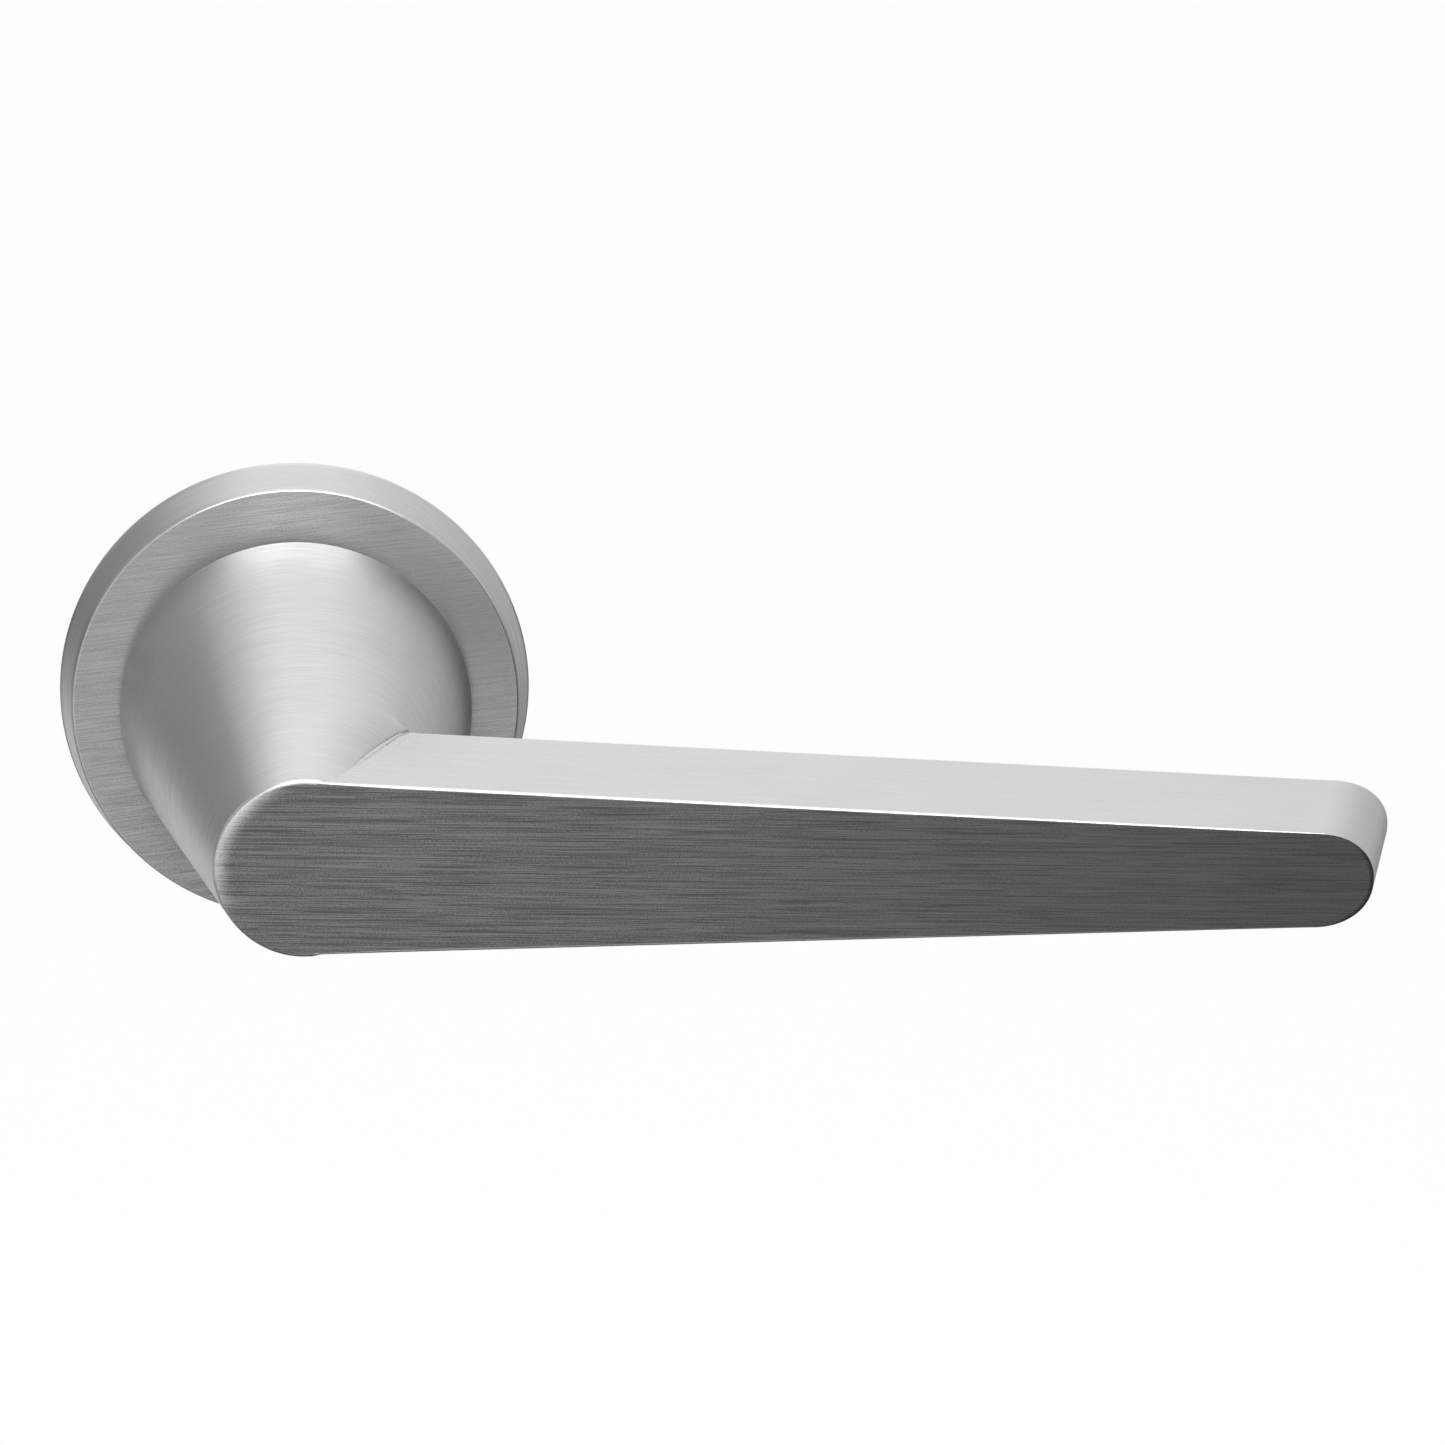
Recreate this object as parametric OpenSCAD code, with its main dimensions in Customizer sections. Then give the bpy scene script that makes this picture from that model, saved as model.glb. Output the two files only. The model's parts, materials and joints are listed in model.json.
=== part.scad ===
// Door lever handle on a round sprung rose.
// The spindle axis runs along Y at the origin, the door face is the plane Y = 0, the lever points
// towards +X and the hand side is -Y. Inside face_up() local Z is the height above the door face,
// local Y is up, and negative heights lie inside the door.

/* [Rose] */
// Diameter of the rose cover at the door
rose_d = 53; // [52:0.5:56]
// Diameter of the rose cover at its front face
rose_front_d = 50.1; // [49.6:0.1:51.5]
// Height of the rose cover above the door
rose_h = 6.6; // [6.6:0.1:8]
// Distance between the two fixing posts
post_spacing = 38; // [37.5:0.5:38.5]
// How far the fixing posts reach into the door
post_reach = 25; // [22:1:30]
// How far the square spindle reaches into the door
spindle_reach = 55; // [40:1:80]
// Side of the square spindle
spindle_side = 8; // [7:0.5:8]

/* [Lever] */
// Distance from the door to the front face of the grip
projection = 66; // [60:1:75]
// Diameter of the neck at the rose
neck_base_d = 39.7; // [38:0.1:41]
// Diameter of the neck at the front face, and height of the grip there
neck_front_d = 19.24; // [18:0.1:21]
// Length of the lever from the spindle axis to the tip
lever_length = 118; // [100:1:135]
// Depth of the grip, front to back
grip_depth = 19.7; // [16:0.1:22]
// How much half the grip's height shrinks per millimetre of length
grip_taper = 0.0405; // [0.02:0.0005:0.045]
// How far the tip leans back over the depth of the grip
tip_lean = 4.4; // [0:0.1:8]
// Length of the rounded tip
tip_round = 6.5; // [4:0.1:9]
// Turn of the lever at its stop, in degrees
lever_turn = 45; // [30:1:50]

/* [Hidden] */

// Clearances
slip = 0.05;        // between fixed pieces that slide together
run = 0.05;         // radial running clearance of the hub
e = 0.01;           // overshoot of cutting shapes past the faces they cut

// Heights above the door face, from the back of the rose to the front
plate_h = 1.2;
housing_top = 4.8;
lid_top = 5.5;
skin = 1;                           // thickness of the cover's front
cover_inner_h = rose_h - skin;      // the lid stays 0.1 below it
neck_h = rose_h + 1.6;              // back face of the neck
neck_bevel = 0.8;                   // around the neck's back edge
bearing_top = neck_h - 0.1;
grip_back = projection - grip_depth;

// Rose radii
cover_bore_r = 24.2;
plate_r = 23.9;
clip_h = 3;                         // height of the wire ring that holds the cover
clip_wire_r = 0.5;
clip_r = 24.05;
spring_bore_r = 14.2;               // bore of the spring housing
bearing_bore_r = 9 + run;
bearing_r = 10.5;
bearing_flange_r = 16.5;

// Hub
journal_r = 9;                      // round part in the hub bearing
tail_r = 8;                         // part with two flats, through the drive ring
tail_flat = 6.5;                    // from the axis to a flat
tail_end = -2.6;
groove_r = 7.35;
ring_low = -1.85;                   // retaining ring, behind the base plate
ring_top = -0.85;
insert_flange_r = 15.1;
insert_r = 10.9;
insert_top = 44;
insert_flange_top = neck_h + 4;
spindle_front = 40;
square_play = 0.15;

// Neck hollow
neck_wide_r = 15.15;
neck_wide_top = 22;
neck_narrow_r = 10.95;

// Grub screw, from below through the neck and the insert to the spindle
grub_h = 30;
grub_r = 3;
grub_end = 14;

// Spring and drive ring
wire_r = 0.6;
spring_r = 13.2;
spring_low = 1.85;
spring_pitch = 1.25;
spring_turns = 1.2;
ring_r = 12.1;
flange_r = 13.9;
flange_low = 4;
flange_top = 4.7;
pin_r = 0.8;
pin_path_r = 12.2;
pin_angles = [110, 290];

// Fixing posts and screws
post_r = 3.75;
post_neck_r = 2.9;                  // spigot in the base plate
post_bevel = 0.5;
post_front_hole = 8;                // depth of the tapped hole for the post screw
post_rear_hole = 10;                // depth of the tapped hole for the opposite rose's bolt
post_thread_r = 2;                  // outer radius of the M4 thread in the rear hole
post_screw_r = 1.5;                 // outer radius of the M3 screw in the front hole
post_screw_reach = 7;
pocket_r = 4;
washer_r = 3.2;
washer_h = 0.8;
lid_screw_r = 1.25;
lid_screw_head_r = 2.3;
lid_screw_ring_r = 20.3;
lid_screw_angles = [50, 130, 230, 310];

function lerp(a, b, t) = a + (b - a) * t;
function half_height(x) = neck_front_d / 2 - grip_taper * x;

// One side of the rounded tip: a superellipse from the taper's edge to the tip's end
tip_steps = 14;
tip_power = 2.15;
function tip_side(end_x, side) = [
  for (i = [0:tip_steps - 1])
    let (a = 90 * i / tip_steps, u = pow(sin(a), 2 / tip_power), v = pow(cos(a), 2 / tip_power))
      [end_x - tip_round + tip_round * u, side * half_height(end_x - tip_round) * v]
];

// The grip's outline seen from the front, with its tip at end_x and a round root in the neck
root_r = neck_front_d / 2 - 0.27;
root_steps = 28;
function root_arc() = [
  for (i = [1:root_steps - 1])
    let (a = 270 - 180 * i / root_steps)
      [root_r * cos(a), root_r * sin(a)]
];
function grip_outline(end_x) = concat(
  [[0, half_height(0)]],
  tip_side(end_x, 1),
  [[end_x, 0]],
  [for (p = [tip_steps - 1:-1:0]) tip_side(end_x, -1)[p]],
  [[0, -half_height(0)]],
  root_arc()
);

// Stands local Z away from the door
module face_up() {
  rotate([90, 0, 0]) children();
}

// A disc or bore between two heights
module rod(r, low, top) {
  translate([0, 0, low]) cylinder(r = r, h = top - low, $fn = 96);
}

module tube(r, bore, low, top) {
  difference() {
    rod(r, low, top);
    rod(bore, low - e, top + e);
  }
}

module cone(low_r, top_r, low, top) {
  translate([0, 0, low]) cylinder(r1 = low_r, r2 = top_r, h = top - low, $fn = 96);
}

// Repeats its children at both fixing posts
module at_posts() {
  for (side = [-1, 1])
    translate([side * post_spacing / 2, 0, 0]) children();
}

module at_lid_screws() {
  for (a = lid_screw_angles)
    rotate([0, 0, a]) translate([lid_screw_ring_r, 0, 0]) children();
}

// Grip as one closed body, from its back face to its front face
module grip_body() {
  lean = tip_lean;
  sheet = 0.01;
  hull() {
    translate([0, 0, projection - sheet]) linear_extrude(sheet) polygon(grip_outline(lever_length - lean));
    translate([0, 0, grip_back]) linear_extrude(sheet) polygon(grip_outline(lever_length));
  }
}

// Round bar with two flats, as on the hub's tail
module flatted(r, flat, low, top) {
  intersection() {
    rod(r, low, top);
    translate([-2 * r, -flat, low - e]) cube([4 * r, 2 * flat, top - low + 2 * e]);
  }
}

module square_bar(side, low, top) {
  translate([-side / 2, -side / 2, low]) cube([side, side, top - low]);
}

module grub_hole(r) {
  translate([0, 0, grub_h]) rotate([90, 0, 0]) cylinder(r = r, h = 25, $fn = 48);
}

// Piece of a ring between two angles, with round ends, for a pin that travels along it
module arc_slot(path_r, slot_r, from, to, low, top) {
  rotate([0, 0, from])
    translate([0, 0, low])
      rotate_extrude(angle = to - from, $fn = 96)
        translate([path_r - slot_r, 0]) square([2 * slot_r, top - low]);
  for (a = [from, to])
    rotate([0, 0, a]) translate([path_r, 0, 0]) rod(slot_r, low, top);
}

module lever_grip() {
  color("lightslategray") face_up() grip_body();
}

module lever_neck() {
  color("silver") face_up()
    difference() {
      intersection() {
        cone(neck_base_d / 2, neck_front_d / 2, neck_h, projection);
        union() {
          cone(neck_base_d / 2 - neck_bevel, neck_base_d / 2, neck_h, neck_h + neck_bevel);
          rod(neck_base_d, neck_h + neck_bevel, projection + e);
        }
      }
      grip_body();
      rod(neck_wide_r, neck_h - e, neck_wide_top);
      rod(neck_narrow_r, neck_wide_top - e, insert_top + slip);
      grub_hole(grub_r);
    }
}

// Core of the neck: flange, square hole, journal and the flatted tail behind it
module hub_insert() {
  color("darkgray") face_up()
    difference() {
      union() {
        rod(insert_r, insert_flange_top - e, insert_top);
        rod(insert_flange_r, neck_h, insert_flange_top);
        rod(journal_r, flange_top + slip, neck_h + e);
        flatted(tail_r, tail_flat, tail_end, flange_top + slip + e);
      }
      square_bar(spindle_side + square_play, tail_end - e, spindle_front + 2);
      tube(tail_r + 1, groove_r, ring_low - slip, ring_top + slip);
      grub_hole(grub_r);
    }
}

module grub_screw() {
  socket = 1.7;
  color("dimgray") face_up()
    translate([0, 0, grub_h]) rotate([90, 0, 0])
      difference() {
        union() {
          rod(grub_r - slip, spindle_side / 2 + 0.8, grub_end);
          cone(grub_r - 1, grub_r - slip, spindle_side / 2 + slip, spindle_side / 2 + 0.81);
        }
        translate([0, 0, grub_end - 3.5]) cylinder(r = socket, h = 4, $fn = 6);
      }
}

module spindle() {
  edge_r = spindle_side * 0.685;
  bevel = 1;
  color("gray") face_up()
    intersection() {
      square_bar(spindle_side, -spindle_reach, spindle_front);
      union() {
        rod(edge_r, -spindle_reach + bevel, spindle_front - bevel);
        cone(edge_r - bevel, edge_r, -spindle_reach, -spindle_reach + bevel);
        cone(edge_r, edge_r - bevel, spindle_front - bevel, spindle_front);
      }
    }
}

// Turns with the hub, carries the stop pins and winds the spring
module drive_ring() {
  tang_slot = 2 * wire_r + 0.2;
  color("goldenrod") face_up()
    difference() {
      union() {
        rod(ring_r, plate_h + 0.1, flange_low + e);
        rod(flange_r, flange_low, flange_top);
      }
      flatted(tail_r + slip, tail_flat + slip, 0, housing_top);
      rotate([0, 0, spring_end_angle])
        translate([spring_r - wire_r - 0.15, -tang_slot / 2, flange_low - e]) cube([3, tang_slot, 2]);
      for (a = pin_angles)
        rotate([0, 0, a]) translate([pin_path_r, 0, 0]) rod(pin_r, flange_low - e, flange_top + e);
    }
}

module stop_pins() {
  color("dimgray") face_up()
    for (a = pin_angles)
      rotate([0, 0, a]) translate([pin_path_r, 0, 0]) rod(pin_r - 0.02, flange_low, lid_top - slip);
}

// Spring ring in the hub's groove behind the base plate, with two eyes for pliers
module retaining_ring() {
  eye_r = 1.5;
  eye_at = 8.6;
  gap = 24;
  color("black") face_up()
    difference() {
      union() {
        rotate([0, 0, -90 + gap / 2])
          translate([0, 0, ring_low])
            rotate_extrude(angle = 360 - gap, $fn = 96)
              translate([groove_r - 0.3, 0]) square([2.3, ring_top - ring_low]);
        for (a = [-90 - gap / 2, -90 + gap / 2])
          rotate([0, 0, a]) translate([eye_at, 0, 0]) rod(eye_r, ring_low, ring_top);
      }
      for (a = [-90 - gap / 2, -90 + gap / 2])
        rotate([0, 0, a]) translate([eye_at + 0.1, 0, 0]) rod(0.6, ring_low - e, ring_top + e);
      rod(groove_r + slip, ring_low - e, ring_top + e);
    }
}

// Wavy spring washer between the base plate and the retaining ring
wave_steps = 48;
function wave_ring(r, lift) = [
  for (i = [0:wave_steps - 1])
    let (a = 360 * i / wave_steps)
      [r * cos(a), r * sin(a), lift + 0.2 * sin(3 * a)]
];
function next(i) = (i + 1) % wave_steps;
module wave_washer() {
  inner = tail_r + 0.2;
  outer = 10.6;
  half = 0.15;
  middle = ring_top / 2;
  points = concat(
    wave_ring(inner, middle - half), wave_ring(outer, middle - half),
    wave_ring(outer, middle + half), wave_ring(inner, middle + half)
  );
  faces = [
    for (k = [0:3], i = [0:wave_steps - 1])
      let (a = k * wave_steps, b = ((k + 1) % 4) * wave_steps)
        [a + i, b + i, b + next(i), a + next(i)]
  ];
  color("dimgray") face_up() polyhedron(points = points, faces = faces, convexity = 4);
}

module rose_cover() {
  color("silver") face_up()
    difference() {
      cone(rose_d / 2, rose_front_d / 2, 0, rose_h);
      rod(cover_bore_r, -e, cover_inner_h);
      rod(bearing_r + slip, cover_inner_h - e, rose_h + e);
      tube(clip_r + clip_wire_r + 0.1, cover_bore_r - 1, clip_h - 0.6, clip_h + 0.6);
    }
}

// Open wire ring that the cover snaps over
module cover_clip_ring() {
  open_angle = 40;
  color("gray") face_up()
    rotate([0, 0, 90 + open_angle / 2])
      translate([0, 0, clip_h])
        rotate_extrude(angle = 360 - open_angle, $fn = 96)
          translate([clip_r, 0]) circle(r = clip_wire_r, $fn = 24);
}

// Plastic bush that guides the hub, with a flange that the neck turns on
module hub_bearing() {
  color("#303030") face_up()
    difference() {
      union() {
        rod(bearing_r, housing_top + slip, rose_h + e);
        rod(bearing_flange_r, rose_h, bearing_top);
      }
      rod(bearing_bore_r, housing_top, bearing_top + e);
    }
}

module lid_screw_shape(grow) {
  rod(lid_screw_r + grow, 0.2 - grow, lid_top - 1);
  cone(lid_screw_r + grow, lid_screw_head_r + grow, lid_top - 1.1, lid_top);
}

// Steel lid of the spring housing, with the slots that stop the pins
module spring_cover() {
  end_play = 0.6;
  color("lightsteelblue") face_up()
    difference() {
      rod(plate_r, housing_top, lid_top);
      rod(bearing_r + slip, housing_top - e, lid_top + e);
      at_posts() rod(pocket_r, housing_top - e, lid_top + e);
      at_lid_screws() lid_screw_shape(0.03);
      for (a = pin_angles)
        arc_slot(
          pin_path_r, pin_r + 0.1, a - lever_turn - end_play, a + end_play,
          housing_top - e, lid_top + e
        );
    }
}

module spring_cover_screws() {
  slot_w = 0.6;
  color("gray") face_up()
    at_lid_screws()
      difference() {
        lid_screw_shape(0);
        translate([-3, -slot_w / 2, lid_top - 0.6]) cube([6, slot_w, 1]);
      }
}

// Plastic body that holds the spring, with pockets for the post screws and holes for the lid screws
module spring_housing() {
  color("#505050") face_up()
    difference() {
      rod(plate_r, plate_h, housing_top);
      rod(spring_bore_r, plate_h - e, housing_top + e);
      at_posts() rod(pocket_r, plate_h - e, housing_top + e);
      at_lid_screws() lid_screw_shape(0.03);
      tube(plate_r + 1, clip_r - clip_wire_r - 0.1, clip_h - 0.6, clip_h + 0.6);
    }
}

// Spring centre line: a tang down into the base plate, the coil, and a tang up into the drive ring
spring_steps = 44;
spring_sides = 8;
spring_start_angle = 60;
spring_end_angle = spring_start_angle + 360 * spring_turns;
spring_top = spring_low + spring_pitch * spring_turns;
function coil_point(t) = [
  spring_r,
  lerp(spring_start_angle, spring_end_angle, t),
  lerp(spring_low, spring_top, t)
];
spring_path = concat(
  [[spring_r, spring_start_angle, 0.4], [spring_r, spring_start_angle, spring_low - 0.7]],
  [for (i = [0:spring_steps]) coil_point(i / spring_steps)],
  [[spring_r, spring_end_angle, spring_top + 0.7], [spring_r, spring_end_angle, flange_top - 0.1]]
);
function place(p) = [p[0] * cos(p[1]), p[0] * sin(p[1]), p[2]];
function unit(v) = v / norm(v);
function ring_at(i) =
  let (
    last = len(spring_path) - 1,
    p = place(spring_path[i]),
    along = unit(place(spring_path[min(i + 1, last)]) - place(spring_path[max(i - 1, 0)])),
    out = [cos(spring_path[i][1]), sin(spring_path[i][1]), 0],
    side = unit(cross(along, out)),
    up = cross(side, along)
  )
  [
    for (k = [0:spring_sides - 1])
      let (a = 360 * k / spring_sides)
        p + wire_r * (cos(a) * up + sin(a) * side)
  ];
module return_spring() {
  rings = len(spring_path);
  points = [for (i = [0:rings - 1]) each ring_at(i)];
  walls = [
    for (i = [0:rings - 2], k = [0:spring_sides - 1])
      let (a = i * spring_sides, b = a + spring_sides, n = (k + 1) % spring_sides)
        [a + k, a + n, b + n, b + k]
  ];
  first_cap = [for (k = [spring_sides - 1:-1:0]) k];
  last_cap = [for (k = [0:spring_sides - 1]) (rings - 1) * spring_sides + k];
  color("black") face_up()
    polyhedron(points = points, faces = concat(walls, [first_cap, last_cap]), convexity = 6);
}

module base_plate() {
  color("lightgray") face_up()
    difference() {
      rod(plate_r, 0, plate_h);
      rod(tail_r + run, -e, plate_h + e);
      at_posts() rod(post_neck_r + 0.02, -e, plate_h + e);
      at_lid_screws() lid_screw_shape(0.03);
      rotate([0, 0, spring_start_angle]) translate([spring_r, 0, 0]) rod(wire_r + 0.15, 0.2, plate_h + e);
    }
}

// Posts that centre the rose in the door's holes, tapped at both ends and solid in the middle
module fixing_posts() {
  color("gray") face_up()
    at_posts()
      difference() {
        union() {
          cone(post_r - post_bevel, post_r, -post_reach, post_bevel - post_reach);
          rod(post_r, post_bevel - post_reach, 0);
          rod(post_neck_r, -e, plate_h - slip);
        }
        rod(post_thread_r, -post_reach - e, post_rear_hole - post_reach);
        rod(post_screw_r + slip, -post_front_hole, plate_h);
      }
}

// Screws that hold the posts to the base plate, with crossed slots
module post_screws() {
  head_low = plate_h + washer_h;
  head_r = 2.9;
  head_h = 2.4;
  dome_h = 0.8;
  slot_w = 0.8;
  slot_depth = 1.2;
  color("gray") face_up()
    at_posts()
      difference() {
        union() {
          rod(post_screw_r, -post_screw_reach, head_low + e);
          rod(head_r, head_low, head_low + head_h - dome_h);
          cone(head_r, head_r - dome_h, head_low + head_h - dome_h - e, head_low + head_h);
        }
        for (a = [45, 135])
          rotate([0, 0, a])
            translate([-post_screw_r, -slot_w / 2, head_low + head_h - slot_depth])
              cube([2 * post_screw_r, slot_w, 2 * slot_depth]);
      }
}

module post_washers() {
  color("silver") face_up()
    at_posts() tube(washer_r, post_screw_r + 0.15, plate_h, plate_h + washer_h);
}

lever_grip();
lever_neck();
hub_insert();
grub_screw();
spindle();
drive_ring();
stop_pins();
retaining_ring();
wave_washer();
rose_cover();
cover_clip_ring();
hub_bearing();
spring_cover();
spring_cover_screws();
spring_housing();
return_spring();
base_plate();
fixing_posts();
post_screws();
post_washers();
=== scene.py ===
"""A door lever handle on a round rose: the visible metal, its materials, the light and the camera."""

import json
import math
import bpy
import numpy as np
from mathutils import Matrix, Vector


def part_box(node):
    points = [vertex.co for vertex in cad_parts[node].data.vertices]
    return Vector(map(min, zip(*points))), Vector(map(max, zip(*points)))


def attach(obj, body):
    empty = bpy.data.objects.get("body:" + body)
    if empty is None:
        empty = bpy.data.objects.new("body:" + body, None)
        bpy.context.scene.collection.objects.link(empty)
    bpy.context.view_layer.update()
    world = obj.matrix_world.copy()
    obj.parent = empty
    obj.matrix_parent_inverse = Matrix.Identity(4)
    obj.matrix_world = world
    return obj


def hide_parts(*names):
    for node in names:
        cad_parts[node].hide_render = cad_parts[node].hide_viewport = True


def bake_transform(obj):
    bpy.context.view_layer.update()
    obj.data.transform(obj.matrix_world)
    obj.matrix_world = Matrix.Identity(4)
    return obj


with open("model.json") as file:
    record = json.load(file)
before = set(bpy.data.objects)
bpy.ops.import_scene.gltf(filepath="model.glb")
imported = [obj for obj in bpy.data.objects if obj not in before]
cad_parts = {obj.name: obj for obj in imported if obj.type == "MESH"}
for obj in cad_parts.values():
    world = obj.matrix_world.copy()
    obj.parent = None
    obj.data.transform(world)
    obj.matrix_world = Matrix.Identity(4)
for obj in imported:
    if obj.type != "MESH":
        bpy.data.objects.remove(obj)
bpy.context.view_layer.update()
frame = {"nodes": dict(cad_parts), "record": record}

MM = 0.001
TAU = 2 * math.pi

# ---------------------------------------------------------------- sizes, in metres, from the frame

rose_lo, rose_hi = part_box("rose_cover")
neck_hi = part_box("lever_neck")[1]
grip_lo, grip_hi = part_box("lever_grip")

ROSE_R = rose_hi.x                      # at the door
ROSE_H = -rose_lo.y
ROSE_FRONT_R = ROSE_R - 1.45 * MM       # at the front face
ROSE_EDGE = 0.18 * MM                   # rounding of the cover's front edge
ROSE_BACK_EDGE = 0.15 * MM              # and of its back edge
ROSE_BORE_R = ROSE_R - 2.3 * MM
ROSE_HOLE_R = 10.56 * MM                # hole in the cover's front, round the hub bearing
ROSE_WALL = 1 * MM                      # thickness of the cover's front
NECK_BACK = -neck_hi.y                  # heights above the door, towards the hand
FRONT = -grip_lo.y
NECK_TOP_R = neck_hi.z                  # the cone's radius at its widest, above the rounded back edge
GRIP_BACK = -grip_hi.y
GRIP_HALF = grip_hi.z                   # half the grip's height at the spindle axis
GRIP_TAPER = 0.0405
TIP_X = grip_hi.x
TIP_LEAN = 4.4 * MM
TIP_ROUND = 6.5 * MM
TIP_POWER = 2.15
EDGE = 0.28 * MM                        # rounding of the grip's long edges
SHARP_EDGE = 0.17 * MM                  # the same edges just beside the neck, where they are crisper
TIP_EDGE = 0.08 * MM                    # and round the tip
RIM = 0.4 * MM                          # rounding of the grip's round end and the neck's rim, on top
LOW_RIM = 0.2 * MM                      # the same rounding at the far left and below
ROLL_SLOPE = math.radians(14)           # how far the buffed front face leans over at its round end
ROLL_WIDTH = 2.0 * MM
TIP_SLOPE = math.radians(16)            # the same at the grip's tip
TIP_ROLL = 0.5 * MM
NECK_BEVEL = 0.8 * MM                   # bevel behind the neck's widest circle
NECK_EDGE = 0.12 * MM                   # rounding of that circle
FRONT_FACING = math.cos(math.radians(20))   # faces within this angle of the front take its steel


def half_height(x):
    return GRIP_HALF - GRIP_TAPER * x


def smooth(value, low, high):
    """0 below low, 1 above high and a smooth step between."""
    t = np.clip((value - low) / (high - low), 0, 1)
    return t * t * (3 - 2 * t)


def roll(turn):
    """How far the front face leans over beside its round end, for an angle round the spindle axis."""
    return ROLL_SLOPE * smooth(-np.cos(turn), 0.1, 0.8) * smooth(np.sin(turn), -0.85, -0.2)


def rim(turn):
    """The rounding of the round end's edge, for an angle round the spindle axis."""
    return LOW_RIM + (RIM - LOW_RIM) * smooth(np.sin(turn), 0.05, 0.95)


def roll_drop(lean, edge, width=ROLL_WIDTH):
    """How far the face has dropped where the edge's rounding takes over from the roll."""
    return np.tan(lean) * (width - edge * (1 - np.sin(lean))) / 2


# ---------------------------------------------------------------- mesh helpers


def smooth_shade(mesh):
    mesh.shade_smooth()
    mesh.set_sharp_from_angle(angle=math.radians(35))


def object_of(name, verts, faces, **layers):
    """A smooth mesh object. A layer is a vertex attribute: a number, or x, y and z, for each vertex."""
    mesh = bpy.data.meshes.new(name)
    mesh.from_pydata([tuple(v) for v in verts], [], faces)
    mesh.validate()
    mesh.update()
    for title, rows in layers.items():
        rows = np.asarray(rows, dtype=np.float32)
        if rows.ndim == 1:
            mesh.attributes.new(title, "FLOAT", "POINT").data.foreach_set("value", rows)
        else:
            mesh.attributes.new(title, "FLOAT_VECTOR", "POINT").data.foreach_set("vector", rows.ravel())
    smooth_shade(mesh)
    obj = bpy.data.objects.new(name, mesh)
    bpy.context.scene.collection.objects.link(obj)
    return obj


def loft(rings, closed=False):
    """Vertices and faces through rings of equal length, capped, or closed from last to first."""
    count = len(rings[0])
    verts = np.concatenate(rings)
    faces = []
    pairs = list(zip(range(len(rings) - 1), range(1, len(rings))))
    if closed:
        pairs.append((len(rings) - 1, 0))
    for a, b in pairs:
        for k in range(count):
            n = (k + 1) % count
            faces.append((a * count + k, a * count + n, b * count + n, b * count + k))
    if not closed:
        faces.append(tuple(range(count - 1, -1, -1)))
        faces.append(tuple(range(len(verts) - count, len(verts))))
    return verts, faces


def around(turn, radius, height):
    """Points round the spindle axis; heights run towards the hand."""
    turn, radius, height = np.broadcast_arrays(turn, radius, height)
    return np.stack([radius * np.cos(turn), -height, radius * np.sin(turn)], axis=1)


def lathe(profile, columns):
    """Rings round the spindle axis from (radius, height) pairs."""
    turn = np.linspace(0, TAU, columns, endpoint=False)
    return [around(turn, radius, height) for radius, height in profile]


def fillet(centre, radius, start, end, steps):
    """Points of an arc in the (radius, height) plane, angles in degrees."""
    angles = np.radians(np.linspace(start, end, steps + 1))
    return [(centre[0] + radius * math.cos(a), centre[1] + radius * math.sin(a)) for a in angles]


def rod(name, start, end, radius, columns=48):
    """A plain closed cylinder between two points, to cut with."""
    start, end = Vector(start), Vector(end)
    along = (end - start).normalized()
    side = along.orthogonal().normalized()
    up = along.cross(side)
    turn = np.linspace(0, TAU, columns, endpoint=False)
    circle = np.outer(np.cos(turn), side) + np.outer(np.sin(turn), up)
    rings = [np.array(centre) + radius * circle for centre in (start, end)]
    return object_of(name, *loft(rings))


def cut(obj, cutter):
    """Cuts one mesh object out of another and removes the cutter."""
    boolean = obj.modifiers.new("cut", "BOOLEAN")
    boolean.operation, boolean.solver, boolean.object = "DIFFERENCE", "EXACT", cutter
    mesh = bpy.data.meshes.new_from_object(obj.evaluated_get(bpy.context.evaluated_depsgraph_get()))
    obj.modifiers.clear()
    obj.data = mesh
    bpy.data.objects.remove(cutter)
    smooth_shade(mesh)


# ---------------------------------------------------------------- grip

ROOT_STEPS, SIDE_STEPS, TIP_STEPS, ROUND_STEPS = 120, 80, 56, 8
ROLL_ROWS = 1.06, 1.0, 0.8, 0.6, 0.4, 0.2, 0.08 # places of the rings across the roll, 0 at the edge
ROOT_SWELL = 0.04 * MM                  # the round end fills the neck's front rim
STEP = 0.2 * MM                         # the round end stands proud of the grip's long edges
STEP_FROM, STEP_TO = 1.2 * MM, 1.9 * MM
POLISH_AND_HIGHLIGHT_ENDS = TIP_X - 14 * MM, TIP_X - 8 * MM # between these the edges' lighter tone, polish and painted highlight, fades
GRIP_EDGES = (                          # rounding of the long edges at places along the grip
    (STEP_FROM, RIM),
    (STEP_TO, SHARP_EDGE),
    (4 * MM, 0.2 * MM),
    (9 * MM, EDGE),
    (TIP_X / 2, 0.85 * EDGE),
    (TIP_X - 20 * MM, 0.55 * EDGE),
    (TIP_X - 11 * MM, TIP_EDGE),
)


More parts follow.
